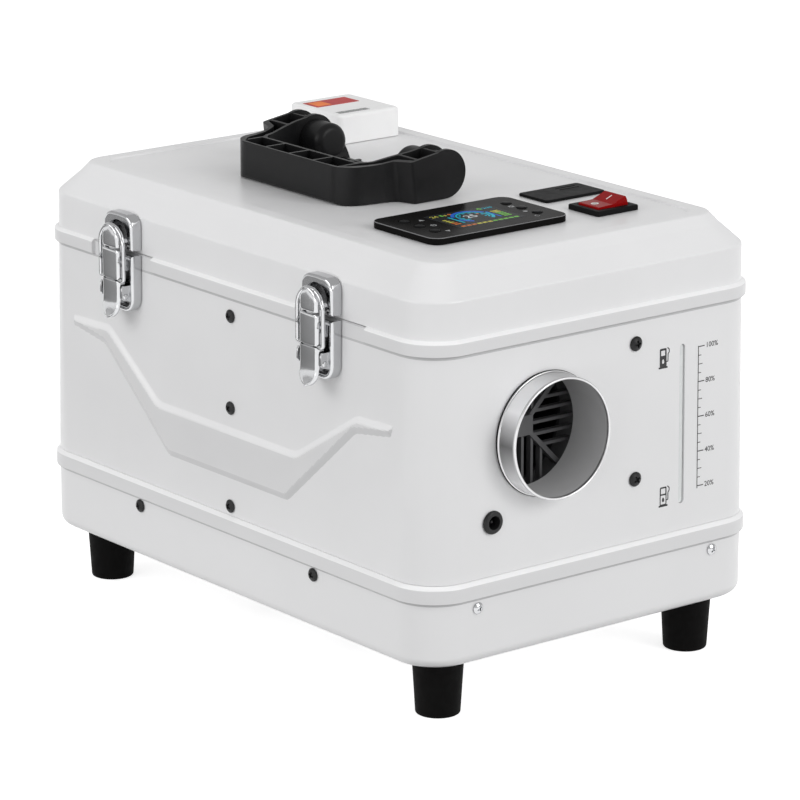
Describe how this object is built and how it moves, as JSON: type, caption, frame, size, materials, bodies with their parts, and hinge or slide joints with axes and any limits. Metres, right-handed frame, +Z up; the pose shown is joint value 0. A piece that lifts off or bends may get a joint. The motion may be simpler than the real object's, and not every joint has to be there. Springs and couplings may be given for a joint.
{
  "type": "portable diesel air heater",
  "caption": "Portable diesel air heater in a white steel toolbox case with hinged lid, toggle latches, folding handle, controller and switch on top, and a round hot-air outlet on one end.",
  "frame": {"origin": "centre of the bounding box at floor level, under the feet", "axes": "+X towards the hot-air outlet end, -Y towards the latches, +Z up"},
  "size_m": [0.4228, 0.2887, 0.3104],
  "materials": {
    "painted_white": "smooth semi-gloss white powder coat",
    "collar_aluminium": "satin spun aluminium",
    "stainless": "polished stainless steel",
    "black_rubber": "matte black rubber",
    "black_plastic": "satin moulded black plastic",
    "black_screws": "black oxide button heads",
    "controller_black": "glossy black",
    "red_plastic": "glossy translucent red",
    "alarm_white": "fine matte white",
    "window_clear": "frosted clear strip",
    "tank_plastic": "natural polyethylene",
    "zinc_steel": "zinc plated sheet",
    "cast_aluminium": "rough cast",
    "circuit_board": "green solder mask",
    "gasket_foam": "closed-cell foam"
  },
  "bodies": {
    "case": {"base_tray": "painted_white", "foot_front_right": "black_rubber", "foot_rear_right": "black_rubber", "foot_front_left": "black_rubber", "foot_rear_left": "black_rubber", "case_body": "painted_white", "outlet_collar": "collar_aluminium", "outlet_grille": "black_plastic", "air_inlet_grille": "black_plastic", "dc_jack": "black_plastic", "level_window": "window_clear", "chassis": "zinc_steel", "divider_plate": "zinc_steel", "fuel_tank": "tank_plastic", "heater_shell_lower": "black_plastic", "heater_shell_upper": "black_plastic", "heat_exchanger": "cast_aluminium", "blower_motor": "cast_aluminium", "control_board": "circuit_board", "exhaust_pipe": "zinc_steel", "intake_pipe": "black_plastic", "fuel_pump": "zinc_steel", "front_screw_1": "black_screws", "front_screw_2": "black_screws", "front_screw_3": "black_screws", "tray_screw_1": "black_screws", "tray_screw_2": "black_screws", "end_screw_1": "black_screws", "end_screw_2": "black_screws", "end_tray_screw_1": "painted_white", "end_tray_screw_2": "painted_white", "latch_base_left": "stainless", "latch_base_right": "stainless", "hinge_leaf_body": "stainless", "hinge_pin": "zinc_steel"},
    "lid": {"lid_shell": "painted_white", "lid_gasket": "gasket_foam", "lcd_housing": "controller_black", "switch_housing": "black_plastic", "cover_plate": "black_plastic", "alarm_box": "alarm_white", "handle_bracket": "black_plastic", "latch_strike_left": "stainless", "latch_strike_right": "stainless", "hinge_leaf_lid": "stainless"},
    "handle": {"handle": "black_plastic"},
    "rocker": {"rocker": "red_plastic"},
    "rotor": {"hot_air_fan": "black_plastic", "combustion_wheel": "cast_aluminium"},
    "cap": {"tank_cap": "black_plastic"},
    "key_1": {"key_1": "controller_black"},
    "key_2": {"key_2": "controller_black"},
    "key_3": {"key_3": "controller_black"},
    "key_4": {"key_4": "controller_black"},
    "key_5": {"key_5": "controller_black"},
    "key_6": {"key_6": "controller_black"},
    "lever_left": {"latch_lever_left": "stainless"},
    "bail_left": {"latch_bail_left": "stainless"},
    "lever_right": {"latch_lever_right": "stainless"},
    "bail_right": {"latch_bail_right": "stainless"}
  },
  "joints": [
    {"name": "lid_hinge", "type": "hinge", "parent": "case", "child": "lid", "pos_m": [-0.0051, 0.1414, 0.23715], "axis": [-1, 0, 0], "range_deg": [0, 100]},
    {"name": "handle_fold", "type": "hinge", "parent": "lid", "child": "handle", "pos_m": [-0.0326, 0.0074, 0.2949], "axis": [-1, 0, 0], "range_deg": [0, 90]},
    {"name": "rocker_tilt", "type": "hinge", "parent": "lid", "child": "rocker", "pos_m": [0.1259, 0.0654, 0.281], "axis": [-1, 0, 0], "range_deg": [0, 24]},
    {"name": "fan_spin", "type": "hinge", "parent": "case", "child": "rotor", "pos_m": [-0.0951, -0.0379, 0.1706], "axis": [1, 0, 0], "continuous": true},
    {"name": "cap_turn", "type": "hinge", "parent": "case", "child": "cap", "pos_m": [-0.0651, 0.0874, 0.228], "axis": [0, 0, 1], "range_deg": [0, 360]},
    {"name": "key_1_press", "type": "slide", "parent": "lid", "child": "key_1", "axis": [0, 0, -1], "range_m": [0, 0.0006], "stiffness_N_per_m": 400},
    {"name": "key_2_press", "type": "slide", "parent": "lid", "child": "key_2", "axis": [0, 0, -1], "range_m": [0, 0.0006], "stiffness_N_per_m": 400},
    {"name": "key_3_press", "type": "slide", "parent": "lid", "child": "key_3", "axis": [0, 0, -1], "range_m": [0, 0.0006], "stiffness_N_per_m": 400},
    {"name": "key_4_press", "type": "slide", "parent": "lid", "child": "key_4", "axis": [0, 0, -1], "range_m": [0, 0.0006], "stiffness_N_per_m": 400},
    {"name": "key_5_press", "type": "slide", "parent": "lid", "child": "key_5", "axis": [0, 0, -1], "range_m": [0, 0.0006], "stiffness_N_per_m": 400},
    {"name": "key_6_press", "type": "slide", "parent": "lid", "child": "key_6", "axis": [0, 0, -1], "range_m": [0, 0.0006], "stiffness_N_per_m": 400},
    {"name": "latch_left", "type": "hinge", "parent": "case", "child": "lever_left", "pos_m": [-0.1081, -0.13869, 0.234], "axis": [-1, 0, 0], "range_deg": [0, 115]},
    {"name": "bail_swing_left", "type": "hinge", "parent": "lever_left", "child": "bail_left", "pos_m": [-0.1081, -0.13919, 0.2215], "axis": [-1, 0, 0], "range_deg": [-138.5, 0]},
    {"name": "latch_right", "type": "hinge", "parent": "case", "child": "lever_right", "pos_m": [0.0979, -0.13869, 0.234], "axis": [-1, 0, 0], "range_deg": [0, 115]},
    {"name": "bail_swing_right", "type": "hinge", "parent": "lever_right", "child": "bail_right", "pos_m": [0.0979, -0.13919, 0.2215], "axis": [-1, 0, 0], "range_deg": [-138.5, 0]}
  ],
  "couplings": [
    {"joint": "bail_swing_left", "follows": "latch_left", "ratio": -1.2},
    {"joint": "bail_swing_right", "follows": "latch_right", "ratio": -1.2}
  ]
}
